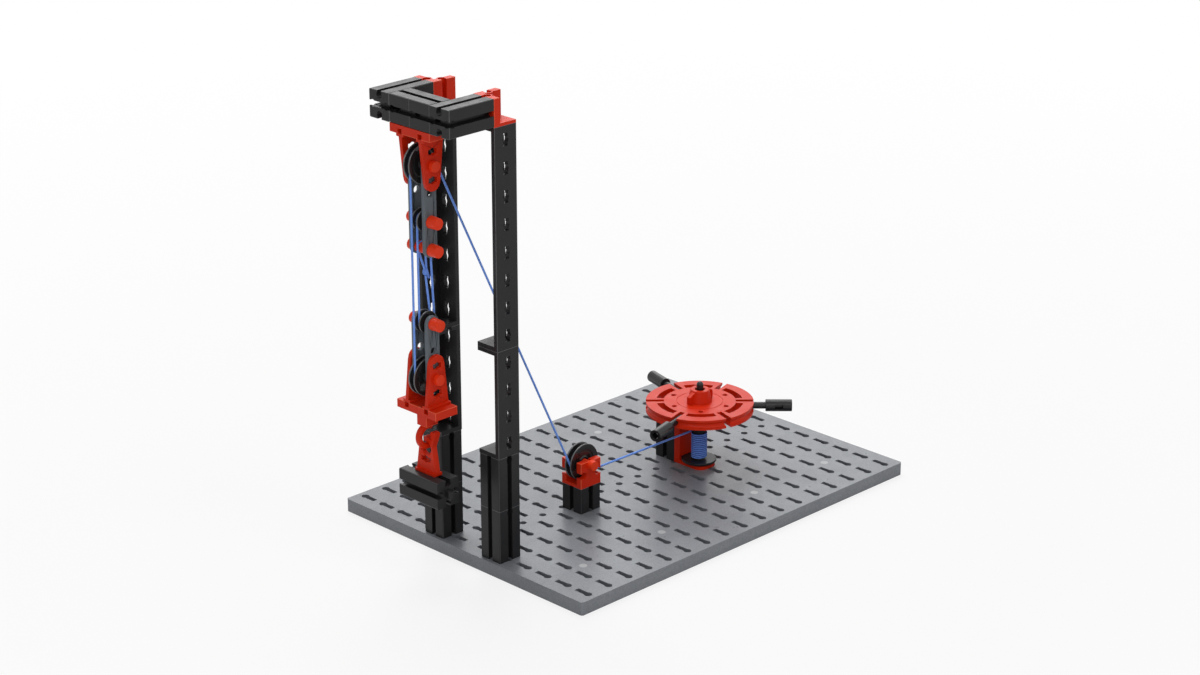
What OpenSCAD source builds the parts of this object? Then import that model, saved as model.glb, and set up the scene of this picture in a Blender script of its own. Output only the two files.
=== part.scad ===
// Pulley demonstrator: a four-fall tackle with a hand winch, built from slotted blocks on a
// grid plate. X runs along the plate from the masts to the winch, Z is up, and the origin is
// the centre of the plate's underside.

/* [Grid] */
// Pitch of every hole and groove, and side of every block
pitch = 15; // [14:0.25:16]
// Width of a groove's mouth
mouth_w = 3; // [2.8:0.1:3.2]
// Diameter of a groove's round bottom and of every axle hole
groove_d = 4; // [3.8:0.05:4.2]
// Depth of the round bottom's centre below the face
groove_in = 2.25; // [2.15:0.05:2.35]
// Clearance of a pin in its groove and of an axle in its hole, on the radius
fit_gap = 0.05; // [0.03:0.01:0.08]
// Radius of the blocks' long edges
edge_r = 0.8; // [0.4:0.1:1.2]

/* [Base plate] */
// Cells of the plate along X
plate_nx = 17; // [15:2:21]
// Cells of the plate along Y
plate_ny = 12; // [10:2:16]
// Rim beyond the cells at the two short ends
plate_rim_x = 2; // [1:0.5:4]
// Rim beyond the cells along the two long sides
plate_rim_y = 3.5; // [2:0.5:6]
// Thickness of the plate
plate_t = 7.5; // [6.5:0.5:10]
// Radius of the plate's corners
plate_r = 1.5; // [0.5:0.5:3]
// Thickness of the skin over each slot's pocket
plate_skin = 0.9; // [0.7:0.1:1.1]

/* [Masts] */
// Wall of a girder's two flanges
flange_t = 2.5; // [2:0.1:3]
// Thickness of a girder's end plates
end_t = 2.4; // [2:0.1:3]
// Length of the keyhole opening's slot along the girder
window_h = 6.8; // [6:0.1:8]
// Wall of a corner bracket
corner_wall = 3.9; // [3.5:0.1:4.4]
// Floor of a corner bracket
corner_floor = 1.6; // [1.2:0.1:2.4]

/* [Pulley blocks] */
// Thickness of a pulley block's base plate
tackle_plate_t = 4.5; // [4:0.25:6]
// Depth of the grooves that take the cheeks' feet
foot_groove = 2.6; // [2:0.1:3]
// Thickness of a cheek's foot
cheek_foot_t = 1.5; // [1:0.1:2.5]
// Width of a cheek's foot across the block
cheek_foot_w = 5.5; // [4.5:0.1:6.5]
// Thickness of a cheek
cheek_t = 2.2; // [1.8:0.1:2.4]
// Reach of a cheek beyond its axle
cheek_reach = 13.4; // [12.5:0.1:14.5]
// Radius of a cheek's round end
cheek_end_r = 4.8; // [4.4:0.1:5.6]
// Half the gap between the two struts
strut_in = 3.9; // [3.5:0.1:4]
// Thickness of a strut
strut_t = 2.3; // [1.8:0.1:2.3]
// Width of a strut
strut_w = 8.3; // [7.5:0.1:9.5]
// Width across a winged opening
wing_w = 5.6; // [5:0.1:6.2]
// Height of a winged opening's slot
wing_h = 2.7; // [2.3:0.1:3.2]

/* [Sheaves and pins] */
// Diameter of a big sheave
big_d = 21; // [19:0.5:22]
// Diameter of a small sheave
small_d = 12; // [11:0.5:13]
// Width of a sheave
sheave_w = 4.8; // [4.2:0.1:5.4]
// Depth of a big sheave's groove
big_groove = 3.75; // [3:0.25:4.5]
// Wall between a small sheave's bore and its groove
small_core = 0.95; // [0.9:0.05:1.4]
// Diameter of the big axles' knobs
knob_d = 5.8; // [5:0.1:7]
// Length of the big axles' knobs
knob_l = 2.4; // [2:0.1:4]
// Diameter of the caps on the small pins, at the strut
sleeve_d = 6.8; // [6.2:0.1:7.6]
// Diameter of the caps on the small pins, at their closed end
sleeve_tip_d = 6.2; // [5.6:0.1:6.8]
// Length of the front caps on the small pins
sleeve_l = 5.8; // [4:0.1:8]
// Length of the rear caps on the small pins
sleeve_rear_l = 3.1; // [2.6:0.1:6]
// Diameter of the bushes on the anchor pin
bush_d = 6; // [5.4:0.1:6.2]

/* [Load] */
// Height of the load above the plate at rest
load_h = 36; // [20:1:40]
// Side of the square socket that carries the hook
socket_w = 8; // [7:0.1:9]
// Height of that socket
socket_h = 7.8; // [6.5:0.1:9]
// Inner radius of the hook
hook_in = 3.9; // [3.6:0.1:4.2]
// Thickness of the hook's ring
hook_t = 3.3; // [3:0.1:3.5]
// Thickness of the load's eye
eye_t = 3.4; // [3:0.1:3.7]
// Radius of the eye's hole
eye_in = 3.4; // [3.2:0.1:3.6]
// Wall of the eye's ring
eye_wall = 3.3; // [2.6:0.1:3.6]

/* [Deflecting pulley] */
// Wall of the deflecting pulley's bracket
fork_wall = 3.5; // [3:0.1:3.9]
// Floor of the deflecting pulley's bracket
fork_floor = 1.8; // [1.2:0.1:2.2]
// Diameter of its axle's knob
fork_knob_d = 5.6; // [4.5:0.1:7]
// Length of its axle's knob
fork_knob_l = 3.2; // [2:0.1:5]

/* [Winch] */
// Distance of the winch axle from its block
winch_out = 12.5; // [12:0.1:14]
// Wall of the winch bracket
winch_wall = 4.2; // [3.6:0.1:4.6]
// Thickness of the winch bracket's two bearing plates
winch_plate = 2; // [1.6:0.1:2.4]
// Reach of the bearing plates beyond the axle
winch_reach = 8.3; // [7:0.1:9.5]
// Corner radius of the bearing plates
winch_corner_r = 5; // [3:0.1:6.5]
// Diameter of the drum's flange
flange_d = 20; // [17:0.5:21]
// Diameter of the drum's core
drum_d = 6.8; // [6.2:0.1:7.2]
// Turns of the winding
winding_turns = 13; // [9:1:13]
// Diameter of the winding's strand, as it is drawn
winding_d = 0.7; // [0.5:0.05:0.75]
// Diameter of the crank disc
disc_d = 61.5; // [58:0.5:66]
// Thickness of the crank disc
disc_t = 5.8; // [5.2:0.1:7]
// Height of the crank disc's underside above the winch block
disc_lift = 3.5; // [3:0.1:6]
// Radius of the six curved slots
arc_r = 22.7; // [22:0.1:23.4]
// Width of the six curved slots
arc_w = 4.2; // [3:0.1:4.4]
// Height of the hub nut
nut_h = 7.2; // [6:0.1:9]
// Length of a handle's sleeve
handle_l = 15; // [12:0.5:18]
// Diameter of a handle's sleeve
handle_d = 6.9; // [6:0.1:8]

/* [Cord] */
// Diameter of the cord
cord_d = 1.2; // [1:0.1:1.3]

/* [Hidden] */
$fn = 48;

// Colours of the plastics and of the cord
red = "#d42a12";
black = "#232325";
grey = "#8f9599";
blue = "#2c54a8";

// Overrun of a cut past a face
over = 0.5;
half = pitch / 2;
hole_r = groove_d / 2;
axle_d = groove_d - 2 * fit_gap;
pin_neck = mouth_w - 4 * fit_gap;
pin_head = groove_d - 4 * fit_gap;
pin_l = 4;
pin_root = 1;

// Base plate
plate_x = plate_nx * pitch + 2 * plate_rim_x;
plate_y = plate_ny * pitch + 2 * plate_rim_y;
slot_back = 2.6;
slot_reach = 8.1;
slot_bulb = 5.7;
slot_bulb_d = 4.3;
pocket_w = 4.2;
pocket_h = 3.4;

// Places on the plate, counted in cells from its centre
mast_x = -8 * pitch;
mast_y = 1.5 * pitch;
tackle_x = mast_x - 2 * pitch;
fork_x = -3 * pitch;
fork_y = -half;
winch_x = 3 * pitch;

// Levels of the masts' top and of the frame's middle
mast_cells = 16;
top_z = plate_t + mast_cells * pitch;
arm_z = top_z + half;

// Distances from a pulley block's plate to its axle, its small pin and its anchor pin
axle_up = pitch;
pin_up = 3 * pitch;
anchor_up = 4 * pitch;
upper_holes = 4;
lower_holes = 3;
cheek_neck = 5;
cheek_out = half + cheek_t / 2 + fit_gap;
bush_gap = 0.2;
cap_end_t = 1.2;
rib_back = 3;
sheave_boss_r = 3.4;
sheave_dish = 0.5;
sheave_dish_rim = 0.5;

// Load, from its block up to the lower pulley block
eye_up = 14.05;
eye_foot_w = 5.7;
eye_foot_t = 1.5;
eye_half = 7.2;
eye_top_r = 4.9;
eye_flare = 0.8;
eye_tip = 1.3;
eye_window_down = 6.05;
eye_window_w = 7.2;
eye_window_h = 2.5;
finger_share = [
    [-0.20, 0.10], [-0.23, 0.26], [-0.29, 0.48], [-0.27, 0.68], [-0.33, 0.745],
    [-0.50, 0.745], [-0.56, 0.69], [-0.47, 0.42], [-0.38, 0.20], [-0.34, 0.08]
];
hook_wall = 3.2;
hook_edge = 1.1;
hook_nest = 0.35;
hook_shift = 0.6;
hook_shank = 6.2;
hook_tip_angle = -55;
hook_mouth_angle = 62;
socket_y = 7.3;
load_z = plate_t + load_h;
load_top = load_z + pitch;
eye_z = load_top + eye_up;
hook_z = eye_z + eye_in + hook_in - hook_nest;
socket_z = hook_z + hook_shank;
lower_z = socket_z + socket_h + tackle_plate_t;
upper_z = top_z - tackle_plate_t;

// Winch, from the plate up
drum_lift = 0.3;
rim_t = 1.7;
flange_bevel = 0.5;
core_top = 21;
collar_d = 7.5;
collar_t = 3;
relief_gap = 0.4;
axle_foot = 0.1;
axle_tip = 4.5;
disc_z = plate_t + 2 * pitch + disc_lift;
disc_mid = disc_z + disc_t / 2;
disc_boss_d = 10;
disc_boss_t = 2.4;
rim_groove_r = 1.8;
rim_groove_out = 0.5;
spoke_from = 20.4;
arc_half_angle = 20.5;
pivot_r = 17;
pivot_d = 3;
disc_ring_r = 13;
disc_ring_w = 0.4;
nut_d = 14;
nut_top_d = 10.6;
nut_well_d = 6;
nut_well = 3;
nut_wing_reach = 9.4;
nut_wing_t = 2.5;
nut_wing_h = 5.4;
nut_wing_drop = 1;
rod_from = 22;
rod_to = 47;
handle_from = 37.5;
handle_slot_l = 4.5;
handle_slot_h = 2.5;
handle_turns = [-45, 75, -165];

// Cord
cord_gap = 0.3;
cord_sides = 8;
wrap_steps = 12;
big_run = big_d / 2 - big_groove + cord_gap + cord_d / 2;
small_groove = small_d / 2 - hole_r - small_core;
small_run = hole_r + small_core + cord_gap + cord_d / 2;
upper_big_c = [tackle_x, upper_z - axle_up];
upper_small_c = [tackle_x, upper_z - pin_up];
anchor_c = [tackle_x, upper_z - anchor_up];
lower_big_c = [tackle_x, lower_z + axle_up];
lower_small_c = [tackle_x, lower_z + pin_up];
fork_c = [fork_x, plate_t + 2 * pitch - groove_in];
lead_z = fork_c[1] - big_run;
drum_run = drum_d / 2 + cord_d / 2;
winding_z = plate_t + winch_plate + drum_lift + rim_t + cord_d / 2 + bush_gap;
loop_y = 1.5;
loop_run = axle_d / 2 + cord_d / 2 + fit_gap;
knot_at = [tackle_x + 1, 169.5];
knot_d = 3.2;
knot_l = 3.6;
leg_gap = 0.8;
fall_clear = 0.3;
tail_end = [tackle_x + 4.6, 165];

function unit(v) = v / norm(v);
function along(points, i) =
    unit(points[min(i + 1, len(points) - 1)] - points[max(i - 1, 0)]);
function ring(points, i, radius, sides, up) =
    let (t = along(points, i), s = unit(cross(t, up)), u = cross(t, s))
    [for (k = [0:sides - 1])
        points[i] + radius * (cos(360 * k / sides) * s + sin(360 * k / sides) * u)];

// Round tube swept along points, closed by a flat cap at each end
module tube(points, diameter, sides, up) {
    last = len(points) - 1;
    rings = [for (i = [0:last]) ring(points, i, diameter / 2, sides, up)];
    walls = [for (i = [0:last - 1], k = [0:sides - 1])
        let (a = i * sides + k, b = i * sides + (k + 1) % sides)
        each [[a, a + sides, b], [b, a + sides, b + sides]]];
    first_cap = [for (k = [1:sides - 2]) [0, k, k + 1]];
    last_cap = [for (k = [1:sides - 2]) last * sides * [1, 1, 1] + [0, k + 1, k]];
    polyhedron([for (r = rings) each r], concat(walls, first_cap, last_cap));
}

// Points of an arc round a sheave, in the plane y
function wrap(centre, radius, from, to, y, steps = wrap_steps) = [
    for (i = [0:steps])
        let (a = from + (to - from) * i / steps)
        [centre[0] + radius * cos(a), y, centre[1] + radius * sin(a)]
];

// Direction, from both centres, of the points where a straight run touches two circles
function touch(c1, r1, c2, r2) =
    let (d = c2 - c1) atan2(d[1], d[0]) + acos((r1 - r2) / norm(d));

fall_d_turn = touch(upper_small_c, small_run, lower_big_c, big_run);
fall_c_turn = touch(knot_at, 0, lower_small_c, small_run);
lead_turn = touch(upper_big_c, big_run, fork_c, -big_run);

module rounded_square(w, r) {
    square([w - 2 * r, w], center = true);
    square([w, w - 2 * r], center = true);
    for (sx = [-1, 1], sy = [-1, 1])
        translate([sx * (w / 2 - r), sy * (w / 2 - r)]) circle(r);
}

// Section of a groove cut into the face at x = 0, from the +X side
module groove_2d() {
    translate([-groove_in, 0]) circle(d = groove_d);
    translate([-groove_in, -mouth_w / 2]) square([groove_in + over, mouth_w]);
}

// A groove along Y, cut down from the face at z = 0 and centred on the origin
module top_groove(length) {
    translate([0, length / 2, 0])
        rotate([90, 0, 0])
            linear_extrude(length) rotate(90) groove_2d();
}

// A pin below the face at z = 0, its head along Y
module pin() {
    translate([-pin_neck / 2, -pin_l / 2, -groove_in])
        cube([pin_neck, pin_l, groove_in + pin_root]);
    translate([0, pin_l / 2, -groove_in])
        rotate([90, 0, 0]) cylinder(d = pin_head, h = pin_l);
}

// A slotted block standing on z = 0: a groove on each long side, one across its top and a pin
// below. The turns set how the top groove and the pin's head lie, from Y.
module slotted_block(length, top_turn = 0, pin_turn = 0) {
    difference() {
        linear_extrude(length)
            difference() {
                rounded_square(pitch, edge_r);
                for (i = [0:3])
                    rotate(i * 90) translate([half, 0]) groove_2d();
            }
        translate([0, 0, length])
            rotate(top_turn) top_groove(pitch + 2 * over);
    }
    rotate(pin_turn) pin();
}

// Base plate with one keyhole slot a cell and a row of holes on its centre line
module cell_slot(mouth) {
    translate([-mouth / 2, -slot_back]) square([mouth, slot_back + slot_reach - mouth / 2]);
    translate([0, slot_reach - mouth / 2]) circle(d = mouth);
}

module each_cell() {
    for (i = [0:plate_nx - 1], j = [0:plate_ny / 2 - 1], side = [0, 1])
        mirror([0, side])
            translate([(i - (plate_nx - 1) / 2) * pitch, half + j * pitch]) children();
}

module base_plate() {
    color(grey)
        difference() {
            linear_extrude(plate_t)
                union() {
                    square([plate_x - 2 * plate_r, plate_y], center = true);
                    square([plate_x, plate_y - 2 * plate_r], center = true);
                    for (sx = [-1, 1], sy = [-1, 1])
                        translate([sx * (plate_x / 2 - plate_r), sy * (plate_y / 2 - plate_r)])
                            circle(plate_r);
                }
            translate([0, 0, plate_t - plate_skin])
                linear_extrude(plate_skin + over)
                    each_cell() {
                        cell_slot(mouth_w);
                        translate([0, slot_bulb]) circle(d = slot_bulb_d);
                    }
            translate([0, 0, plate_t - plate_skin - pocket_h])
                linear_extrude(pocket_h)
                    each_cell() cell_slot(pocket_w);
            for (i = [1:plate_nx - 1])
                translate([(i - plate_nx / 2) * pitch, 0, -over])
                    cylinder(d = groove_d, h = plate_t + 2 * over);
        }
}

// Girder on z = 0 with flanges on its -Y and +X sides, end plates, openings and a pin. Its top
// groove ends inside the -Y flange.
module opening_2d() {
    square([mouth_w, window_h], center = true);
    circle(d = groove_d);
}

module girder(cells) {
    length = cells * pitch;
    difference() {
        union() {
            translate([-half, -half, 0]) cube([pitch, flange_t, length]);
            translate([half - flange_t, -half, 0]) cube([flange_t, pitch, length]);
            for (z = [0, length - end_t])
                translate([-half, -half, z]) cube([pitch, pitch, end_t]);
        }
        for (i = [0:cells - 1])
            translate([0, 0, half + i * pitch]) {
                translate([0, -half + flange_t + over, 0])
                    rotate([90, 0, 0]) linear_extrude(flange_t + 2 * over) opening_2d();
                translate([half - flange_t - over, 0, 0])
                    rotate([90, 0, 90]) linear_extrude(flange_t + 2 * over) opening_2d();
            }
        translate([0, (flange_t + over) / 2, length]) top_groove(pitch - flange_t + over);
    }
    pin();
}

// Corner bracket on z = 0: a floor, a wall on -X and a wall on +Y, each with an upright groove
module corner_bracket() {
    boss_r = hole_r + corner_floor / 2;
    difference() {
        union() {
            translate([-half, -half, 0]) cube([pitch, pitch, corner_floor]);
            translate([-half, -half, 0]) cube([corner_wall, pitch, pitch]);
            translate([-half, half - corner_wall, 0]) cube([pitch, corner_wall, pitch]);
            intersection() {
                translate([-half, -half, 0]) cube(pitch);
                union() {
                    translate([-half + groove_in, 0, 0]) cylinder(r = boss_r, h = pitch);
                    translate([0, half - groove_in, 0]) cylinder(r = boss_r, h = pitch);
                }
            }
        }
        translate([-half, 0, corner_floor])
            rotate(180) linear_extrude(pitch) groove_2d();
        translate([0, half, corner_floor])
            rotate(90) linear_extrude(pitch) groove_2d();
    }
    pin();
}

// Puts a mast's piece on the right (-Y) or, mirrored, on the left mast, so many cells up
module on_mast(side, cells) {
    mirror([0, side > 0 ? 1 : 0, 0])
        translate([mast_x, -mast_y, plate_t + cells * pitch]) children();
}

module mast_block_lower(side) { color(black) on_mast(side, 0) slotted_block(2 * pitch); }
module mast_block_upper(side) { color(black) on_mast(side, 2) slotted_block(2 * pitch); }
module girder_lower(side) { color(black) on_mast(side, 4) girder(4); }
module girder_upper(side) { color(black) on_mast(side, 8) girder(8); }
module corner(side) { color(red) on_mast(side, mast_cells) corner_bracket(); }

// Top frame: arms along X pinned into the corner brackets, and two short blocks between them
module arm_block(side) {
    color(black)
        translate([mast_x - half, side * mast_y, arm_z])
            rotate([0, -90, 0]) slotted_block(2 * pitch, pin_turn = 90);
}

module crossbar_block(side) {
    color(black)
        translate([tackle_x, side > 0 ? 0 : -pitch, arm_z])
            rotate([-90, 0, 0]) slotted_block(pitch, 90, 90);
}

// The upper pulley block hangs face down from the crossbar, the lower one stands face up.
// Their pieces are drawn on the plate's face at z = 0, the axle a pitch above it.
module in_upper(side = 1) {
    translate([tackle_x, 0, upper_z])
        mirror([0, 0, 1]) mirror([0, side > 0 ? 0 : 1, 0]) children();
}

module in_lower(side = 1) {
    translate([tackle_x, 0, lower_z]) mirror([0, side > 0 ? 0 : 1, 0]) children();
}

module tackle_base() {
    difference() {
        translate([-half, -pitch, -tackle_plate_t]) cube([pitch, 2 * pitch, tackle_plate_t]);
        for (side = [-1, 1])
            translate([-half - over, side * half - mouth_w / 2, -foot_groove])
                cube([pitch + 2 * over, mouth_w, foot_groove + over]);
    }
    translate([0, 0, -tackle_plate_t]) pin();
}

module wing_2d() {
    square([wing_w, wing_h], center = true);
    circle(d = groove_d);
}

// Cheek on the +Y side, its foot's rib in the plate's groove
module cheek() {
    end_up = axle_up + cheek_reach - cheek_end_r;
    translate([-half, half - cheek_foot_w / 2, 0]) cube([pitch, cheek_foot_w, cheek_foot_t]);
    translate([-half + rib_back, half - pin_neck / 2, -foot_groove + fit_gap])
        cube([pitch - 2 * rib_back, pin_neck, foot_groove]);
    translate([0, half + cheek_t / 2, 0])
        rotate([90, 0, 0])
            linear_extrude(cheek_t)
                difference() {
                    union() {
                        polygon([
                            [-half, 0], [half, 0], [cheek_neck, end_up], [-cheek_neck, end_up]
                        ]);
                        translate([0, end_up]) circle(cheek_end_r);
                    }
                    for (i = [-1:1])
                        translate([0, axle_up + i * half]) wing_2d();
                }
}

// Strut on the +Y side, with round ends and holes a pitch apart
module strut(holes) {
    reach = (holes - 1) * pitch;
    translate([0, strut_in + strut_t, axle_up])
        rotate([90, 0, 0])
            linear_extrude(strut_t)
                difference() {
                    union() {
                        translate([-strut_w / 2, 0]) square([strut_w, reach]);
                        circle(d = strut_w);
                        translate([0, reach]) circle(d = strut_w);
                    }
                    for (i = [0:holes - 1])
                        translate([0, i * pitch]) circle(d = groove_d);
                }
}

// Lays children that stand on z = 0 along +Y, from the given y, at a height
module along_y(height, from) {
    translate([0, from, height]) rotate([-90, 0, 0]) children();
}

// Axle along Y with a knob on its -Y end, from -reach to +reach
module knobbed_axle(height, reach, diameter, length) {
    along_y(height, -reach) cylinder(d = axle_d, h = 2 * reach);
    along_y(height, -reach - length) cylinder(d = diameter, h = length);
}

// Small pin through both struts, its ends inside the caps
module small_pin(height) {
    out = strut_in + strut_t - cap_end_t - fit_gap;
    along_y(height, -out - sleeve_l)
        cylinder(d = axle_d, h = 2 * out + sleeve_l + sleeve_rear_l);
}

// Caps on a pin, one outside each strut, the front one longer
module sleeves(height) {
    lengths = [sleeve_rear_l, sleeve_l];
    for (side = [0, 1])
        mirror([0, side, 0])
            along_y(height, strut_in + strut_t)
                difference() {
                    cylinder(d1 = sleeve_d, d2 = sleeve_tip_d, h = lengths[side]);
                    translate([0, 0, -over])
                        cylinder(d = groove_d, h = lengths[side] - cap_end_t + over);
                }
}

// Bushes on the anchor pin, between the struts and on each side of the cord's loop
module bushes(height) {
    loop_half = cord_d / 2 + bush_gap;
    for (span = [[-strut_in, loop_y - loop_half], [loop_y + loop_half, strut_in]])
        along_y(height, span[0])
            difference() {
                cylinder(d = bush_d, h = span[1] - span[0]);
                translate([0, 0, -over]) cylinder(d = groove_d, h = span[1] - span[0] + 2 * over);
            }
}

// Sheave turned from its half section, its groove a round bottom between sloping walls.
// A big one is dished on both sides, between its boss and its rim.
module sheave(diameter, depth) {
    rim_share = 0.15;
    bottom = cord_d / 2 + cord_gap;
    run = diameter / 2 - depth + bottom;
    edge = diameter / 2 + over;
    rim = sheave_w * (0.5 - rim_share);
    dish_w = run - sheave_dish_rim - sheave_boss_r;
    rotate([90, 0, 0])
        rotate_extrude()
            difference() {
                translate([hole_r, -sheave_w / 2]) square([diameter / 2 - hole_r, sheave_w]);
                translate([run, 0]) circle(bottom);
                polygon([[run, -bottom], [edge, -rim], [edge, rim], [run, bottom]]);
                if (dish_w > sheave_dish)
                    for (side = [-1, 1])
                        translate([sheave_boss_r + dish_w / 2, side * sheave_w / 2])
                            square([dish_w, 2 * sheave_dish], center = true);
            }
}

module sheave_at(centre, y, diameter, depth) {
    translate([centre[0], y, centre[1]]) sheave(diameter, depth);
}

// Square socket that takes the lower block's pin and carries the hook
module hook_socket() {
    color(red)
        translate([tackle_x, 0, socket_z])
            difference() {
                translate([-socket_w / 2, -socket_y / 2, 0]) cube([socket_w, socket_y, socket_h]);
                translate([0, 0, socket_h]) top_groove(socket_y + 2 * over);
            }
}

// Hook: a ring of rounded section, cut flat under the socket and open on its +X side
module load_hook() {
    ring_r = hook_in + hook_wall / 2;
    outer = hook_in + hook_wall;
    wedge = 2 * outer;
    color(red)
        translate([tackle_x - hook_shift, 0, hook_z])
            difference() {
                rotate([90, 0, 0])
                    rotate_extrude()
                        translate([ring_r, 0])
                            union() {
                                square([hook_wall - 2 * hook_edge, hook_t], center = true);
                                square([hook_wall, hook_t - 2 * hook_edge], center = true);
                                for (sx = [-1, 1], sy = [-1, 1])
                                    translate([
                                        sx * (hook_wall / 2 - hook_edge),
                                        sy * (hook_t / 2 - hook_edge)
                                    ])
                                        circle(hook_edge);
                            }
                translate([0, hook_t, 0])
                    rotate([90, 0, 0])
                        linear_extrude(2 * hook_t)
                            polygon([
                                [0, 0],
                                wedge * [cos(hook_tip_angle), sin(hook_tip_angle)],
                                [wedge, 0],
                                wedge * [cos(hook_mouth_angle), sin(hook_mouth_angle)]
                            ]);
                translate([-outer, -hook_t, hook_shank])
                    cube([2 * outer, 2 * hook_t, outer]);
            }
}

// Eye on the load: a foot with a pin, and an upright plate that ends in an open ring
module eye_outline() {
    ring_up = eye_in + eye_wall - eye_top_r;
    difference() {
        union() {
            polygon([
                [-eye_half, eye_foot_t - eye_up], [eye_half, eye_foot_t - eye_up],
                [eye_top_r, ring_up], [-eye_top_r, ring_up]
            ]);
            translate([0, ring_up]) circle(eye_top_r);
            polygon([for (p = finger_share) p * eye_up]);
        }
        translate([eye_tip, eye_tip / 2]) square(eye_up);
        translate([0, -eye_window_down]) {
            square([eye_window_w, eye_window_h], center = true);
            circle(d = groove_d);
        }
    }
}

module load_eye() {
    color(red)
        translate([tackle_x, 0, eye_z]) {
            difference() {
                translate([-eye_t / 2, 0, 0])
                    rotate([90, 0, 90]) linear_extrude(eye_t) eye_outline();
                translate([-eye_t / 2 - over, 0, 0])
                    rotate([0, 90, 0]) cylinder(r = eye_in, h = eye_t + 2 * over);
                for (side = [0, 1])
                    mirror([side, 0, 0])
                        translate([eye_t / 2 - eye_flare, 0, 0])
                            rotate([0, 90, 0])
                                cylinder(r1 = eye_in, r2 = eye_in + eye_flare, h = eye_flare);
            }
            translate([-eye_foot_w / 2, -half, -eye_up]) cube([eye_foot_w, pitch, eye_foot_t]);
            translate([0, 0, -eye_up]) pin();
        }
}

module load_block() {
    color(black)
        translate([tackle_x, -pitch, load_z + half])
            rotate([-90, 0, 0]) slotted_block(2 * pitch);
}

// Deflecting pulley: a foot block and, a pitch above the plate, a fork whose top groove holds
// the axle
module at_fork(cells) {
    translate([fork_x, fork_y, plate_t + cells * pitch]) children();
}

module fork_block() { color(black) at_fork(0) slotted_block(pitch); }

module fork_bracket() {
    color(red)
        at_fork(1) {
            difference() {
                union() {
                    translate([-half, -half, 0]) cube([pitch, pitch, fork_floor]);
                    for (y = [-half, half - fork_wall])
                        translate([-half, y, 0]) cube([pitch, fork_wall, pitch]);
                }
                for (turn = [0, 180])
                    translate([0, 0, half])
                        rotate([90, turn, 0])
                            translate([half, 0, -half - over])
                                linear_extrude(pitch + 2 * over) groove_2d();
                translate([0, 0, pitch]) top_groove(pitch + 2 * over);
            }
            pin();
        }
}

module fork_axle() {
    color(red)
        at_fork(1)
            knobbed_axle(pitch - groove_in, half, fork_knob_d, fork_knob_l);
}

// Winch: an upright block, a bracket with two bearings, and the pieces on the axle
module winch_block() {
    color(black) translate([winch_x, half, plate_t]) slotted_block(2 * pitch);
}

module winch_plate_2d(reach) {
    inner = half - winch_corner_r;
    translate([-half, winch_corner_r - reach]) square([pitch, reach - winch_corner_r]);
    translate([-inner, -reach]) square([2 * inner, reach]);
    for (side = [-1, 1])
        translate([side * inner, winch_corner_r - reach]) circle(winch_corner_r);
}

module winch_bracket() {
    reach = winch_out + winch_reach;
    height = 2 * pitch;
    color(red)
        translate([winch_x, 0, plate_t])
            difference() {
                union() {
                    translate([-half, -winch_wall, 0]) cube([pitch, winch_wall, height]);
                    for (z = [0, height - winch_plate])
                        translate([0, 0, z]) linear_extrude(winch_plate) winch_plate_2d(reach);
                    for (z = [half, 3 * half])
                        translate([0, 0, z]) rotate([90, 0, 0]) pin();
                }
                translate([0, -winch_out, -over])
                    cylinder(d = groove_d, h = height + 2 * over);
                translate([0, -winch_out, winch_plate])
                    cylinder(
                        r = flange_d / 2 + relief_gap,
                        h = drum_lift + rim_t + relief_gap
                    );
            }
}

module on_winch(z) {
    translate([winch_x, -winch_out, plate_t + z]) children();
}

module winch_axle() {
    top = 2 * pitch + disc_lift + disc_t + nut_h + axle_tip;
    color(black)
        on_winch(axle_foot) {
            cylinder(d = axle_d, h = top - axle_foot - axle_d / 2);
            translate([0, 0, top - axle_foot - axle_d / 2]) sphere(d = axle_d);
        }
}

// Drum turned in one piece: a bevelled flange, the core and a collar
module winch_drum() {
    foot = winch_plate + drum_lift;
    flange_top = foot + rim_t;
    edge = flange_d / 2;
    color(black)
        on_winch(0)
            rotate_extrude()
                polygon([
                    [hole_r, foot], [edge - 2 * flange_bevel, foot], [edge, foot + flange_bevel],
                    [edge, flange_top], [drum_d / 2, flange_top], [drum_d / 2, core_top],
                    [collar_d / 2, core_top], [collar_d / 2, core_top + collar_t],
                    [hole_r, core_top + collar_t]
                ]);
}

// Crank disc with a boss below, a grooved rim, six spoke slots, curved slots and small holes
module crank_disc() {
    color(red)
        translate([winch_x, -winch_out, disc_z])
            difference() {
                rotate_extrude()
                    difference() {
                        union() {
                            translate([hole_r, 0]) square([disc_d / 2 - hole_r, disc_t]);
                            translate([hole_r, -disc_boss_t])
                                square([disc_boss_d / 2 - hole_r, disc_boss_t + over]);
                        }
                        translate([disc_d / 2 + rim_groove_out, disc_t / 2]) circle(rim_groove_r);
                        translate([disc_ring_r, disc_t - disc_ring_w])
                            square([disc_ring_w, disc_ring_w + over]);
                    }
                for (i = [0:5])
                    rotate(handle_turns[0] + i * 60) {
                        translate([spoke_from, -mouth_w / 2, -over])
                            cube([disc_d, mouth_w, disc_t + 2 * over]);
                        translate([spoke_from, 0, disc_t / 2])
                            rotate([0, 90, 0]) cylinder(d = groove_d, h = disc_d);
                        rotate(30) {
                            translate([pivot_r, 0, -over])
                                cylinder(d = pivot_d, h = disc_t + 2 * over);
                            curved_slot();
                        }
                    }
            }
}

module curved_slot() {
    rotate(-arc_half_angle)
        translate([0, 0, -over])
            rotate_extrude(angle = 2 * arc_half_angle)
                translate([arc_r - arc_w / 2, 0]) square([arc_w, disc_t + 2 * over]);
}

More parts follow.
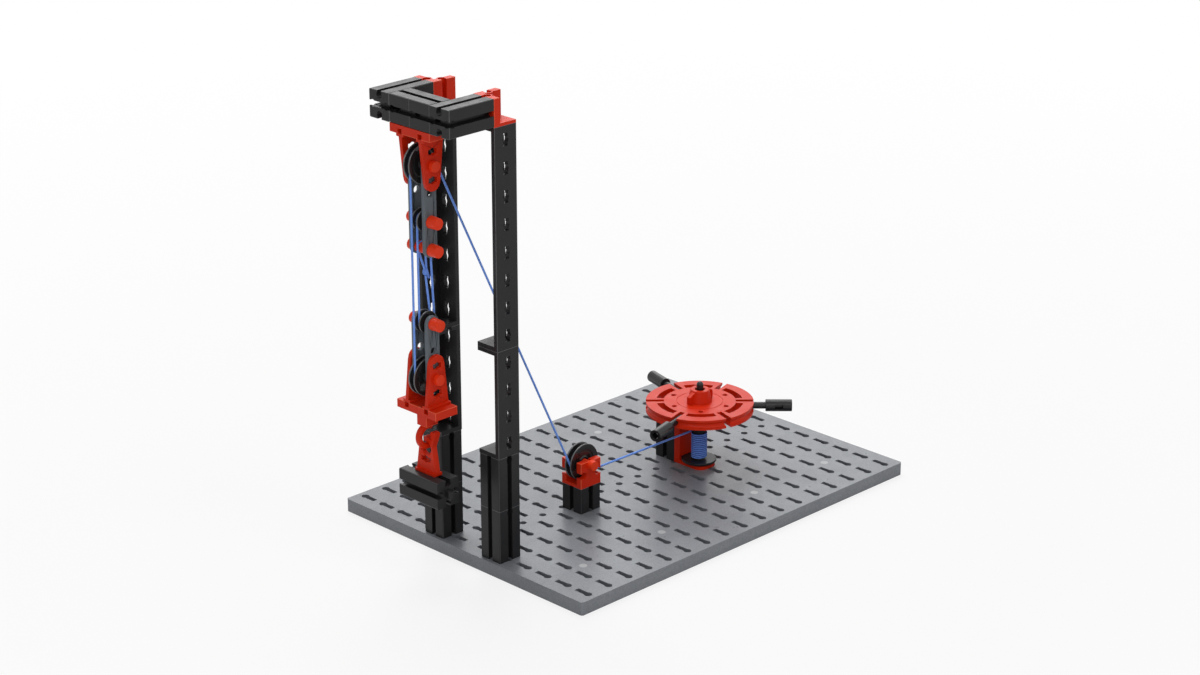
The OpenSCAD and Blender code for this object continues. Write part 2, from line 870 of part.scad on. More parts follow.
// Hub nut: a cone with a well at its top and two finger wings
module hub_nut() {
    color(red)
        translate([winch_x, -winch_out, disc_z + disc_t])
            difference() {
                union() {
                    cylinder(d1 = nut_d, d2 = nut_top_d, h = nut_h);
                    for (turn = [0, 180])
                        rotate(turn)
                            translate([0, nut_wing_t / 2, 0])
                                rotate([90, 0, 0])
                                    linear_extrude(nut_wing_t)
                                        polygon([
                                            [hole_r + over, 0], [nut_wing_reach, 0],
                                            [nut_wing_reach, nut_wing_h - nut_wing_drop],
                                            [nut_top_d / 2, nut_wing_h + nut_wing_drop],
                                            [hole_r + over, nut_wing_h + nut_wing_drop]
                                        ]);
                }
                translate([0, 0, -over]) cylinder(d = groove_d, h = nut_h + 2 * over);
                translate([0, 0, nut_h - nut_well]) cylinder(d = nut_well_d, h = nut_well + over);
            }
}

module each_handle() {
    for (turn = handle_turns)
        translate([winch_x, -winch_out, disc_mid])
            rotate(turn) rotate([0, 90, 0]) children();
}

module handle_rods() {
    color(black)
        each_handle()
            translate([0, 0, rod_from]) cylinder(d = axle_d, h = rod_to - rod_from);
}

// Sleeves of the handles, open at both ends, with a slot across
module handle_sleeves() {
    color(black)
        each_handle()
            translate([0, 0, handle_from])
                difference() {
                    cylinder(d = handle_d, h = handle_l);
                    translate([0, 0, -over]) cylinder(d = groove_d, h = handle_l + 2 * over);
                    translate([-handle_slot_h / 2, -handle_d, handle_l / 2 - handle_slot_l / 2])
                        cube([handle_slot_h, handle_d, handle_slot_l]);
                }
}

// Winding: one strand from the flange up to the height where the cord comes in
ring_steps = 24;
winding_steps = winding_turns * ring_steps;
function winding_point(i) =
    let (a = 90 + 360 * (i - winding_steps) / ring_steps)
    [
        winch_x + drum_run * cos(a),
        -winch_out + drum_run * sin(a),
        winding_z + (lead_z - winding_z) * i / winding_steps
    ];
winding_points = let (
        body = [for (i = [0:winding_steps]) winding_point(i)],
        first = unit(body[0] - body[1]),
        out = [-1, 0, 0]
    )
    concat([body[0] + winding_d * first], body, [body[winding_steps] + winding_d * out]);
winding_gap = min([
    for (i = [0:winding_steps], j = [i + ring_steps / 2:1:winding_steps])
        norm(winding_points[i] - winding_points[j])
]) - winding_d;
echo(winding_gap = winding_gap);

module cord_winding() {
    color(blue) tube(winding_points, winding_d, 6, [0, 0, 1]);
}

// The cord over the upper big sheave, down to the deflecting sheave and in to the drum
lead_points = concat(
    wrap(upper_big_c, big_run, 180, lead_turn, 0),
    wrap(fork_c, big_run, 180 + lead_turn, 270, fork_y),
    [[winch_x - winding_d, -winch_out + drum_run, lead_z]]
);

module cord_lead() {
    color(blue) tube(lead_points, cord_d, cord_sides, [0, 1, 0]);
}

module cord_upper_wrap() {
    color(blue)
        tube(
            wrap(upper_small_c, small_run, 180, fall_d_turn, 0),
            cord_d, cord_sides, [0, 1, 0]
        );
}

module cord_lower_wraps() {
    color(blue) {
        tube(
            wrap(lower_small_c, small_run, fall_c_turn, -180, 0),
            cord_d, cord_sides, [0, 1, 0]
        );
        tube(
            wrap(lower_big_c, big_run, fall_d_turn, -180, 0),
            cord_d, cord_sides, [0, 1, 0]
        );
    }
}

// Straight falls between the two pulley blocks, and the one that comes down from the knot
fall_c_top = [knot_at[0], 0, knot_at[1] - knot_l / 2];
falls = [
    [wrap(upper_big_c, big_run, 180, 180, 0, 1)[0], wrap(lower_big_c, big_run, 180, 180, 0, 1)[0]],
    [
        wrap(upper_small_c, small_run, 180, 180, 0, 1)[0],
        wrap(lower_small_c, small_run, 180, 180, 0, 1)[0]
    ],
    [
        wrap(upper_small_c, small_run, fall_d_turn, 0, 0)[0],
        wrap(lower_big_c, big_run, fall_d_turn, 0, 0)[0]
    ],
    [fall_c_top, wrap(lower_small_c, small_run, fall_c_turn, 0, 0)[0]]
];

// A straight run made shorter at both ends, clear of the cord on the sheaves
function trimmed(run) =
    let (way = fall_clear * (run[1] - run[0]) / norm(run[1] - run[0]))
    [run[0] + way, run[1] - way];

module cord_falls() {
    color(blue)
        for (run = falls) tube(trimmed(run), cord_d, cord_sides, [0, 1, 0]);
}

// Knot below the anchor pin, with the loop round the pin and a short tail
module cord_knot() {
    low = [knot_at[0] - leg_gap, knot_at[1] + knot_l / 2];
    to_pin = touch(low, 0, anchor_c, loop_run);
    color(blue) {
        tube(
            concat(
                [[low[0], 0, knot_at[1]], [low[0], 0, low[1]]],
                wrap(anchor_c, loop_run, to_pin, 180 - to_pin, loop_y),
                [[low[0] + 2 * leg_gap, 0, low[1]], [low[0] + 2 * leg_gap, 0, knot_at[1]]]
            ),
            cord_d, cord_sides, [0, 1, 0]
        );
        translate([knot_at[0], 0, knot_at[1] - knot_l / 2])
            cylinder(d = knot_d, h = knot_l);
        tube(
            [[knot_at[0], 0, knot_at[1]], [tail_end[0], loop_y, tail_end[1]]],
            cord_d, cord_sides, [0, 1, 0]
        );
    }
}

// The two pulley blocks' pieces, each in its place
module upper_block_base() { color(red) in_upper() tackle_base(); }
module upper_cheek(side) { color(red) in_upper(side) cheek(); }
module upper_strut(side) { color(grey) in_upper(side) strut(upper_holes); }
module upper_axle() { color(red) in_upper() knobbed_axle(axle_up, cheek_out, knob_d, knob_l); }
module upper_big_sheave() { color(black) sheave_at(upper_big_c, 0, big_d, big_groove); }
module upper_small_sheave() { color(black) sheave_at(upper_small_c, 0, small_d, small_groove); }
module upper_small_pin() { color(red) in_upper() small_pin(pin_up); }
module upper_small_sleeves() { color(red) in_upper() sleeves(pin_up); }
module anchor_pin() { color(red) in_upper() small_pin(anchor_up); }
module anchor_sleeves() { color(red) in_upper() sleeves(anchor_up); }
module anchor_bushes() { color(red) in_upper() bushes(anchor_up); }
module lower_block_base() { color(red) in_lower() tackle_base(); }
module lower_cheek(side) { color(red) in_lower(side) cheek(); }
module lower_strut(side) { color(grey) in_lower(side) strut(lower_holes); }
module lower_axle() { color(red) in_lower() knobbed_axle(axle_up, cheek_out, knob_d, knob_l); }
module lower_big_sheave() { color(black) sheave_at(lower_big_c, 0, big_d, big_groove); }
module lower_small_sheave() { color(black) sheave_at(lower_small_c, 0, small_d, small_groove); }
module lower_small_pin() { color(red) in_lower() small_pin(pin_up); }
module lower_small_sleeves() { color(red) in_lower() sleeves(pin_up); }
module fork_sheave() { color(black) sheave_at(fork_c, fork_y, big_d, big_groove); }

base_plate();
mast_block_lower(-1);  // right_mast_block_lower
mast_block_lower(1);  // left_mast_block_lower
mast_block_upper(-1);  // right_mast_block_upper
mast_block_upper(1);  // left_mast_block_upper
girder_lower(-1);  // right_girder_lower
girder_lower(1);  // left_girder_lower
girder_upper(-1);  // right_girder_upper
girder_upper(1);  // left_girder_upper
corner(-1);  // right_corner_bracket
corner(1);  // left_corner_bracket
arm_block(-1);  // right_arm_block
arm_block(1);  // left_arm_block
crossbar_block(-1);  // right_crossbar_block
crossbar_block(1);  // left_crossbar_block
upper_block_base();
upper_cheek(-1);  // upper_cheek_right
upper_cheek(1);  // upper_cheek_left
upper_strut(-1);  // upper_strut_right
upper_strut(1);  // upper_strut_left
upper_axle();
upper_big_sheave();
upper_small_sheave();
upper_small_pin();
upper_small_sleeves();
anchor_pin();
anchor_sleeves();
anchor_bushes();
lower_block_base();
lower_cheek(-1);  // lower_cheek_right
lower_cheek(1);  // lower_cheek_left
lower_strut(-1);  // lower_strut_right
lower_strut(1);  // lower_strut_left
lower_axle();
lower_big_sheave();
lower_small_sheave();
lower_small_pin();
lower_small_sleeves();
hook_socket();
load_hook();
load_eye();
load_block();
fork_block();
fork_bracket();
fork_axle();
fork_sheave();
winch_block();
winch_bracket();
winch_axle();
winch_drum();
crank_disc();
hub_nut();
handle_rods();
handle_sleeves();
cord_winding();
cord_lead();
cord_upper_wrap();
cord_lower_wraps();
cord_falls();
cord_knot();
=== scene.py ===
# %% [markdown]
# A tabletop pulley demonstrator, dressed around a finished model.
# The shapes that fit and move come from the packed model, whose parts stay exactly where they
# are. What is added here is the look: moulded plastic with soft edges, the braided cord in its
# real thickness, small moulding marks, and a plain studio.
# %% Load the model
import math

import bmesh
import bpy
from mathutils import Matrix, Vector


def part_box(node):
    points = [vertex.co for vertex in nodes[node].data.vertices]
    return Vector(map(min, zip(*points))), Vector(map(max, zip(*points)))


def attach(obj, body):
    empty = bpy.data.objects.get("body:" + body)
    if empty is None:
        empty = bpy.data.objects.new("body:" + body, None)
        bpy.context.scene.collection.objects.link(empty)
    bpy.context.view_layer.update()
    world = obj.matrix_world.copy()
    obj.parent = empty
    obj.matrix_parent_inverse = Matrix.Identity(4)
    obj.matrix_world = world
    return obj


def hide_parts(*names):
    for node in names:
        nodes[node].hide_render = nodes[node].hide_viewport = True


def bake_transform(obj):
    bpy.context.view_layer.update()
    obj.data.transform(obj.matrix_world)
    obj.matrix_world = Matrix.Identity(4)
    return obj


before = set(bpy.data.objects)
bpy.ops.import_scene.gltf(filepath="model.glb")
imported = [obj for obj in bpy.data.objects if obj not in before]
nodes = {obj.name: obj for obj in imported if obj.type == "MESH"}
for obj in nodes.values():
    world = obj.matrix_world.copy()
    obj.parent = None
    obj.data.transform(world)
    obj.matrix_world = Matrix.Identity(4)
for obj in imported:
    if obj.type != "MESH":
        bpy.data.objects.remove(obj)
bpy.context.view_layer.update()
MM = 0.001
print("parts in the model:", len(nodes))

# %% [markdown]
# The camera comes first. Its place was found from the plate's grid of slots: many slots whose
# real places are known give one camera only. Its direction is given by two angles, which is
# easier to read and to change than a rotation matrix.
# %% Camera
CAMERA_AT = Vector((-1033.3, -1009.8, 639.3)) * MM
CAMERA_TURN = math.radians(45.018)
CAMERA_DOWN = math.radians(20.685)
IMAGE_WIDTH_PX = 1200
FOCAL_PX = 2778.1
SENSOR_WIDTH = 36
SIGHT_LIMIT = 20

camera_data = bpy.data.cameras.new("camera")
camera_data.sensor_width = SENSOR_WIDTH
camera_data.lens = FOCAL_PX / IMAGE_WIDTH_PX * SENSOR_WIDTH
camera_data.clip_end = SIGHT_LIMIT
camera = bpy.data.objects.new("camera", camera_data)
forward = Vector((
    math.sin(CAMERA_TURN) * math.cos(CAMERA_DOWN),
    math.cos(CAMERA_TURN) * math.cos(CAMERA_DOWN),
    -math.sin(CAMERA_DOWN),
))
camera.location = CAMERA_AT
camera.rotation_euler = forward.to_track_quat("-Z", "Y").to_euler()
bpy.context.collection.objects.link(camera)
bpy.context.scene.camera = camera
bpy.context.scene.view_settings.view_transform = "Standard"
print("focal length in mm:", round(camera_data.lens, 2))

# %% [markdown]
# The cord is one thin braid that runs over five sheaves. Its route needs no guessing: where it
# lies on a sheave it follows an arc, and between two sheaves it is the straight line that
# touches both. So the only inputs are the sheaves' centres, which come from the parts'
# boxes, and the radius at which the cord's middle runs in each groove.
# %% Measures of the sheaves and of the cord
CORD_D = 1.2 * MM
BIG_RUN = 7.65 * MM
SMALL_RUN = 3.85 * MM
DRUM_RUN = 4.0 * MM


def centre(node):
    """Centre of a part's box."""
    low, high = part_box(node)
    return (Vector(low) + Vector(high)) / 2


upper_big = centre("upper_big_sheave")
upper_small = centre("upper_small_sheave")
lower_big = centre("lower_big_sheave")
lower_small = centre("lower_small_sheave")
fork = centre("fork_sheave")
anchor = centre("anchor_pin")
drum = centre("winch_drum")
print("upper block's big sheave is at", [round(x / MM, 1) for x in upper_big])

# %% [markdown]
# Two circles and a taut cord: the cord touches both circles at the same angle, seen from their
# centres. The places could be read off a drawing, but a formula still holds when a sheave
# changes. The angle follows from the distance between the centres and the two radii. A
# radius gets a minus sign where the cord passes the circle on its other side.
# %% Where a taut cord touches
WRAP_STEPS = 24
HALF_TURN = math.pi


def touch(centre_a, run_a, centre_b, run_b):
    """Angle, from both centres, at which the straight run touches two circles."""
    across = centre_b.x - centre_a.x
    rise = centre_b.z - centre_a.z
    return math.atan2(rise, across) + math.acos((run_a - run_b) / math.hypot(across, rise))


def wrap(middle, run, start, end, y=None, steps=WRAP_STEPS):
    """Points of an arc round a sheave, from one angle to another, in radians."""
    y = middle.y if y is None else y
    angles = [start + (end - start) * i / steps for i in range(steps + 1)]
    return [Vector((middle.x + run * math.cos(a), y, middle.z + run * math.sin(a)))
            for a in angles]


def straight(start, end, steps):
    """Points between two points, without the ends."""
    return [start.lerp(end, i / steps) for i in range(1, steps)]


fall_d_turn = touch(upper_small, SMALL_RUN, lower_big, BIG_RUN)
lead_turn = touch(upper_big, BIG_RUN, fork, -BIG_RUN)
print("the lead leaves the upper sheave at", round(math.degrees(lead_turn), 1), "degrees")

# %% [markdown]
# A braided cord is a tube whose surface carries a pattern that must follow the cord round its
# bends. A curve with a round profile would give the tube, but here each ring has to carry
# values of its own. So a ring is extruded from point to point, turning with the route. Each
# vertex remembers two things that the braid's material reads later: its direction round the
# cord, and how many cord diameters along the route it lies. An extrusion copies the first by
# itself.
# %% Swept tube
RING_SIDES = 12


def swept_tube(mesh, points, diameter, sides=RING_SIDES):
    """Adds a round tube along points, with its two attributes, to a bmesh."""
    around = mesh.verts.layers.float_vector.get("around") \
        or mesh.verts.layers.float_vector.new("around")
    along = mesh.verts.layers.float.get("along") or mesh.verts.layers.float.new("along")
    last = len(points) - 1
    ways = [(points[min(i + 1, last)] - points[max(i - 1, 0)]).normalized()
            for i in range(last + 1)]
    ring = bmesh.ops.create_circle(mesh, segments=sides, radius=diameter / 2)["verts"]
    for vert in ring:
        vert[around] = vert.co.normalized()
    edges = list({e for v in ring for e in v.link_edges})
    turn = Vector((0, 0, 1)).rotation_difference(ways[0]).to_matrix()
    bmesh.ops.rotate(mesh, cent=(0, 0, 0), matrix=turn, verts=ring)
    bmesh.ops.translate(mesh, vec=points[0], verts=ring)
    bmesh.ops.contextual_create(mesh, geom=edges)
    run = 0.0
    for i in range(last):
        made = bmesh.ops.extrude_edge_only(mesh, edges=edges)["geom"]
        ring = [g for g in made if isinstance(g, bmesh.types.BMVert)]
        edges = [g for g in made if isinstance(g, bmesh.types.BMEdge)
                 and g.verts[0] in ring and g.verts[1] in ring]
        step = points[i + 1] - points[i]
        bend = ways[i].rotation_difference(ways[i + 1]).to_matrix()
        bmesh.ops.rotate(mesh, cent=points[i], matrix=bend, verts=ring)
        bmesh.ops.translate(mesh, vec=step, verts=ring)
        run += step.length / diameter
        for vert in ring:
            vert[along] = run
    bmesh.ops.contextual_create(mesh, geom=edges)


side_width = CORD_D * math.sin(math.pi / RING_SIDES)
print("each of the tube's", RING_SIDES, "sides is", round(side_width / MM, 2), "mm wide")

# %% [markdown]
# The cord passes from the fixed frame to the lower block and to the drum, which move. One long
# piece could ride with only one of them and would leave the others. So it is cut where it
# changes from one to the next, and each stretch becomes a piece of its own. Both cut ends lie
# at the same place, so the eye sees one cord.
# %% Pieces of cord
cord_pieces = []


def new_piece(name, mesh, smooth=True):
    """Turns a bmesh into an object of the scene."""
    bmesh.ops.recalc_face_normals(mesh, faces=mesh.faces)
    for face in mesh.faces:
        face.smooth = smooth
    data = bpy.data.meshes.new(name)
    mesh.to_mesh(data)
    mesh.free()
    piece = bpy.data.objects.new(name, data)
    bpy.context.collection.objects.link(piece)
    return piece


def cord_piece(name, *routes):
    """One stretch of the cord, along one or more routes, as a piece of its own."""
    mesh = bmesh.new()
    for route in routes:
        swept_tube(mesh, route, CORD_D)
    piece = new_piece(name, mesh)
    cord_pieces.append(piece)
    return piece


def length_of(points):
    """Length of a route, in metres."""
    return sum((b - a).length for a, b in zip(points, points[1:]))


between_blocks = length_of([upper_big, lower_big])
print("the two big sheaves are", round(between_blocks / MM, 1), "mm apart")

# %% [markdown]
# The falls run between the two pulley blocks, and the lower block moves. A fall that rode with
# one block would leave the sheave of the other. So each fall gets rings all along it, and it is
# not attached to either block here: its points stay in the room. The one called fall_anchor
# starts at the knot.
# %% Falls of the tackle
FALL_STEPS = 16
KNOT_AT = Vector((anchor.x + 1 * MM, 0, 169.5 * MM))
KNOT_HALF = 1.8 * MM
fall_c_turn = touch(KNOT_AT, 0, lower_small, SMALL_RUN)


def on_circle(middle, run, turn):
    """One point of a sheave's cord circle."""
    return wrap(middle, run, turn, turn, steps=1)[0]


fall_ends = {
    "fall_out": (on_circle(upper_big, BIG_RUN, HALF_TURN),
                 on_circle(lower_big, BIG_RUN, HALF_TURN)),
    "fall_inner": (on_circle(upper_small, SMALL_RUN, HALF_TURN),
                   on_circle(lower_small, SMALL_RUN, HALF_TURN)),
    "fall_slant": (on_circle(upper_small, SMALL_RUN, fall_d_turn),
                   on_circle(lower_big, BIG_RUN, fall_d_turn)),
    "fall_anchor": (KNOT_AT - Vector((0, 0, KNOT_HALF)),
                    on_circle(lower_small, SMALL_RUN, fall_c_turn)),
}
for name, (top, foot) in fall_ends.items():
    points = [top] + straight(top, foot, FALL_STEPS) + [foot]
    fall = cord_piece("cord_" + name, points)
    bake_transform(fall)
    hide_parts("cord_falls")
    print(name, "is", round(length_of(points) / MM, 1), "mm long")

# %% [markdown]
# Under the lower sheaves the cord rides with the lower block. Over the small upper sheave it
# stays where it is while the sheave turns below it. The arcs could turn with their sheaves, but
# then their ends would leave the falls. The angles start and end exactly where the falls
# touch, so the pieces meet without a step.
# %% Cord on the sheaves
wraps = {
    "wrap_lower_small": ("lower_block", "cord_lower_wraps",
                         wrap(lower_small, SMALL_RUN, fall_c_turn, -HALF_TURN)),
    "wrap_lower_big": ("lower_block", "cord_lower_wraps",
                       wrap(lower_big, BIG_RUN, fall_d_turn, -HALF_TURN)),
    "wrap_upper_small": ("root", "cord_upper_wrap",
                         wrap(upper_small, SMALL_RUN, HALF_TURN, fall_d_turn)),
}
for name, (body, node, points) in wraps.items():
    piece = cord_piece("cord_" + name, points)
    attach(piece, body)
    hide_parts(node)
    print(name, "is", round(length_of(points) / MM, 1), "mm long")

# %% [markdown]
# The lead is the long stretch that everyone sees: over the big upper sheave, straight down
# behind the masts, under the deflecting sheave and level into the drum. A loose cord would
# hang in a curve. This one is taut all the way, so it is straight between its two arcs.
# %% Lead to the winch
LEAD_STEPS = 60
LEVEL_STEPS = 24
TANGENT_GAP = 0.2 * MM
LOWEST_TURN = 1.5 * HALF_TURN
over_top = wrap(upper_big, BIG_RUN, HALF_TURN, lead_turn)
under_fork = wrap(fork, BIG_RUN, HALF_TURN + lead_turn, LOWEST_TURN)
lead_end = Vector((drum.x - TANGENT_GAP, drum.y + DRUM_RUN, under_fork[-1].z))
lead_points = (
    over_top + straight(over_top[-1], under_fork[0], LEAD_STEPS)
    + under_fork + straight(under_fork[-1], lead_end, LEVEL_STEPS) + [lead_end]
)
lead = cord_piece("cord_lead_taut", lead_points)
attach(lead, "root")
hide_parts("cord_lead")
length_of(lead_points)
print("lead:", round(length_of(lead_points) / MM, 1), "mm long")

# %% [markdown]
# The winding is a helix on the drum's core. Plain rings would look alike from a distance, but
# none of them would meet the lead. The turns lie pressed together side by side, from just
# above the flange up to where the lead arrives. A function works out the helix, because a
# turn differs from the next one only in its height.
# %% Winding on the drum
TURNS = 13
TURN_STEPS = 36
lowest_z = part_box("cord_winding")[0][2]
first_z = lowest_z + 0.5 * CORD_D
top_z = lead_end.z


def winding_point(i):
    """Point of the winding's helix, counted from its low end."""
    share = i / (TURNS * TURN_STEPS)
    turn = math.pi / 2 + 2 * math.pi * (share - 1) * TURNS
    return Vector((drum.x + DRUM_RUN * math.cos(turn),
                   drum.y + DRUM_RUN * math.sin(turn),
                   first_z + (top_z - first_z) * share))


winding_points = [winding_point(i) for i in range(TURNS * TURN_STEPS + 1)]
winding = cord_piece("cord_winding_turns", winding_points)
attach(winding, "winch")
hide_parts("cord_winding")
print("cord on the drum:", round(length_of(winding_points), 3), "m, its turns",
      round((top_z - first_z) / TURNS / MM, 2), "mm apart")

# %% [markdown]
# The cord is tied to the anchor pin. A loop goes round the pin between two bushes, and both
# legs come down into a knot. The loop could be a closed ring, but its legs show. So it
# follows the pin's arc between the two points where straight legs touch it.
# %% Loop round the anchor pin
LOOP_Y = 1.5 * MM
LOOP_RUN = 2.6 * MM
LEG_GAP = 0.62 * MM

leg_low = KNOT_AT + Vector((-LEG_GAP, 0, 0))
leg_high = leg_low + Vector((0, 0, KNOT_HALF))
to_other_leg = Vector((2 * LEG_GAP, 0, 0))
to_pin = touch(leg_high, 0, anchor, LOOP_RUN)
loop_points = (
    [leg_low, leg_high] + wrap(anchor, LOOP_RUN, to_pin, HALF_TURN - to_pin, LOOP_Y)
    + [leg_high + to_other_leg, leg_low + to_other_leg]
)
print("loop:", round(length_of(loop_points) / MM, 1), "mm of cord")

# %% [markdown]
# The knot could be traced through every crossing of a real hitch, but at this size the eye
# sees only a lump. So it is three short turns round the legs, fuller in the middle, and the
# cut end sticks out beside it.
# %% Knot and cut end
KNOT_RUN = 1.0 * MM
KNOT_TURNS = 3
KNOT_TURN_STEPS = 14
KNOT_TAPER = 0.35
END_TUCK = 0.4 * CORD_D
TAIL_END = Vector((anchor.x + 4.6 * MM, LOOP_Y, 165.0 * MM))
TAIL_BEND = Vector((0.5 * MM, 0.3 * MM, 1.2 * MM))

turn_count = KNOT_TURNS * KNOT_TURN_STEPS
knot_points = []
for i in range(turn_count + 1):
    share = i / turn_count
    from_middle = 2 * share - 1
    turn = 2 * math.pi * KNOT_TURNS * share
    swell = KNOT_RUN * (1 - KNOT_TAPER * from_middle ** 2)
    knot_points.append(Vector((
        KNOT_AT.x + swell * math.cos(turn), swell * math.sin(turn),
        KNOT_AT.z + from_middle * (KNOT_HALF - END_TUCK),
    )))
tail_points = [KNOT_AT, KNOT_AT.lerp(TAIL_END, 0.5) + TAIL_BEND, TAIL_END]
knot = cord_piece("cord_knot_tied", loop_points, knot_points, tail_points)
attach(knot, "root")
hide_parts("cord_knot")
print("knot:", round(length_of(knot_points) / MM, 1), "mm of cord, and a tail of",
      round(length_of(tail_points) / MM, 1))

# %% [markdown]
# Materials are drawn by maths on coordinates, with no pictures. The nodes could be placed one
# by one, but then nobody could read the pattern in the script. So a small class wraps a node's
# output, and a pattern reads like a formula: adding two wrapped outputs adds a Math node. One
# method, node, adds a node of any type. A material starts from a wire without an output.
# %% Writing shader maths
class Wire:
    """An output of a shader node that can be used in sums."""

    def __init__(self, tree, socket=None):
        self.tree = tree
        self.socket = socket

    def node(self, kind, settings, inputs, output=0):
        """Adds a node, sets it up, connects its inputs and wraps one of its outputs."""
        node = self.tree.nodes.new(kind)
        for key, value in settings.items():
            setattr(node, key, value)
        pairs = inputs.items() if isinstance(inputs, dict) else enumerate(inputs)
        for key, value in pairs:
            if isinstance(value, Wire):
                value.into(node.inputs[key])
            else:
                node.inputs[key].default_value = value
        return Wire(self.tree, node.outputs[output])

    def out(self, output):
        """Another output of the same node."""
        return Wire(self.tree, self.socket.node.outputs[output])

    def into(self, socket):
        """Connects this output to a node's input."""
        self.tree.links.new(self.socket, socket)

    def math(self, operation, *others):
        """Adds a Math node that starts with this output."""
        return self.node("ShaderNodeMath", {"operation": operation}, (self,) + others)

    def __add__(self, other):
        return self.math("ADD", other)

    def __sub__(self, other):
        return self.math("SUBTRACT", other)

    def __rsub__(self, other):
        return self.node("ShaderNodeMath", {"operation": "SUBTRACT"}, (other, self))

    def __mul__(self, other):
        return self.math("MULTIPLY", other)

    __radd__ = __add__
    __rmul__ = __mul__


print("methods of a wire:", [word for word in vars(Wire) if not word.startswith("__")])

# %% [markdown]
# A few words for nodes that every finish uses: a colour as an eye-dropper gives it, the place
# on the object, cloudy noise, and a blend of two colours. Places could be read in the room,
# but then a pattern would slide over a part that moves. So they are read on the object itself.
# %% Words for materials
NOISE_LOW = 0.3
NOISE_HIGH = 0.7


def srgb(red, green, blue):
    """A colour as an eye-dropper gives it, 0 to 255, turned into the linear values of a node."""
    linear = [((c / 255 + 0.055) / 1.055) ** 2.4 if c > 10 else c / 255 / 12.92
              for c in (red, green, blue)]
    return (*linear, 1)


def new_material(name):
    """A material, an empty wire to start from, and the material's shader."""
    material = bpy.data.materials.new(name)
    material.use_nodes = True
    tree = material.node_tree
    return material, Wire(tree), tree.nodes["Principled BSDF"]


def object_place(start):
    """Where a point lies on the object, in metres."""
    return start.node("ShaderNodeTexCoord", {}, (), "Object")


def xyz(place):
    """The three parts of a place or of a direction."""
    x = place.node("ShaderNodeSeparateXYZ", {}, (place,))
    return x, x.out("Y"), x.out("Z")


def noise(place, scale, detail=3.0, rough=0.55):
    """Cloudy noise round 0.5, its scale in features per metre."""
    return place.node("ShaderNodeTexNoise", {}, {
        "Vector": place, "Scale": scale, "Detail": detail, "Roughness": rough})


def mix_colour(share, low, high):
    """A colour between two, by a share from 0 to 1."""
    return share.node("ShaderNodeMix", {"data_type": "RGBA"}, {0: share, 6: low, 7: high}, 2)


def remap(value, low, high, value_low=NOISE_LOW, value_high=NOISE_HIGH):
    """A value between two limits, such as noise, as a number between two others."""
    return value.node("ShaderNodeMapRange", {}, {
        "Value": value, "From Min": value_low, "From Max": value_high,
        "To Min": low, "To Max": high})


print("a middle grey is", round(srgb(128, 128, 128)[0], 3), "in a node")

# %% [markdown] The parts are injection moulded. Moulded plastic is not one flat colour: the
# melt leaves very faint clouds, handling leaves soft rubbed patches where the gloss differs,
# and the mould's own fine grain breaks up the highlight. A picture of plastic could be laid on
# the parts, but it would show where it repeats, and noise does not.
CLOUD_SCALE = 45
RUB_SCALE = 130
SWIRL_SCALE = 420
SPECK_SCALE = 1300
GRAIN_SCALE = 2600
CLOUD_SHARE = 0.7
SWIRL_SHARE = 0.3
SWIRL_BUMP = 0.12
GRAIN_DEPTH = 0.05 * MM


def moulded_plastic(name, colour, cloud, rough, rough_spread, grain, shine, specks=0.0,
                    marks=None, mark_and_highlight_colour=None):
    """A plastic with clouds, rubbed patches, mould grain and, if wanted, specks and marks (mould
    marks, painted highlights).
    """
    material, start, shader = new_material(name)
    place = object_place(start)
    clouds = remap(noise(place, CLOUD_SCALE), 0, 1)
    rubs = noise(place, RUB_SCALE, detail=5.0)
    swirl = noise(place, SWIRL_SCALE, detail=4.0)
    fine = noise(place, GRAIN_SCALE, detail=2.0)
    shade = clouds * CLOUD_SHARE + swirl * SWIRL_SHARE
    if specks:
        dots = remap(noise(place, SPECK_SCALE, detail=1.0), 0, 1)
        shade = shade * (1 - specks) + dots * specks
    tint = mix_colour(shade, colour, cloud)
    # Marks are the plate's mould marks, and on blocks and sheaves the painted edge highlights.
    if marks:
        tint = mix_colour(marks(place), tint, mark_and_highlight_colour)
    gloss = remap(rubs, rough - rough_spread, rough + rough_spread)
    bump = start.node("ShaderNodeBump", {}, {
        "Strength": grain, "Distance": GRAIN_DEPTH, "Height": fine + swirl * SWIRL_BUMP})
    tint.into(shader.inputs["Base Color"])
    gloss.into(shader.inputs["Roughness"])
    bump.into(shader.inputs["Normal"])
    shader.inputs["Specular IOR Level"].default_value = shine
    return material


print("the mould's grain is about", round(1 / GRAIN_SCALE / MM, 2), "mm wide")

# %% [markdown]
# Where the mould's pins push the plate out, they leave small round marks that are a little
# paler than the rest. They could be thin discs on the plate, but they have no height, so
# the material draws them. They lie alike in the plate's four quarters. So folding the plate
# twice along its middle and once more between two marks leaves one mark to draw.
# %% Marks of the mould's pins
MARK_MIDDLE = 67.5 * MM
MARK_APART = 30 * MM
MARK_Y = 62 * MM
MARK_R = 2.2 * MM
MARK_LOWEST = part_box("base_plate")[1].z - 0.5 * MM
PALE_GREY = srgb(166, 168, 170)


def ejector_marks(place):
    """1 inside the round marks on the plate's top, else 0."""
    x, y, z = xyz(place)
    folded_x = (x.math("ABSOLUTE") - MARK_MIDDLE).math("ABSOLUTE") - MARK_APART
    folded_y = y.math("ABSOLUTE") - MARK_Y
    distance = (folded_x * folded_x + folded_y * folded_y).math("SQRT")
    return distance.math("LESS_THAN", MARK_R) * z.math("GREATER_THAN", MARK_LOWEST)


print("marks are", round(2 * MARK_R / MM, 1), "mm across and lie at x =",
      [round((MARK_MIDDLE + side * MARK_APART) / MM, 1) for side in (-1, 1)], "mm")

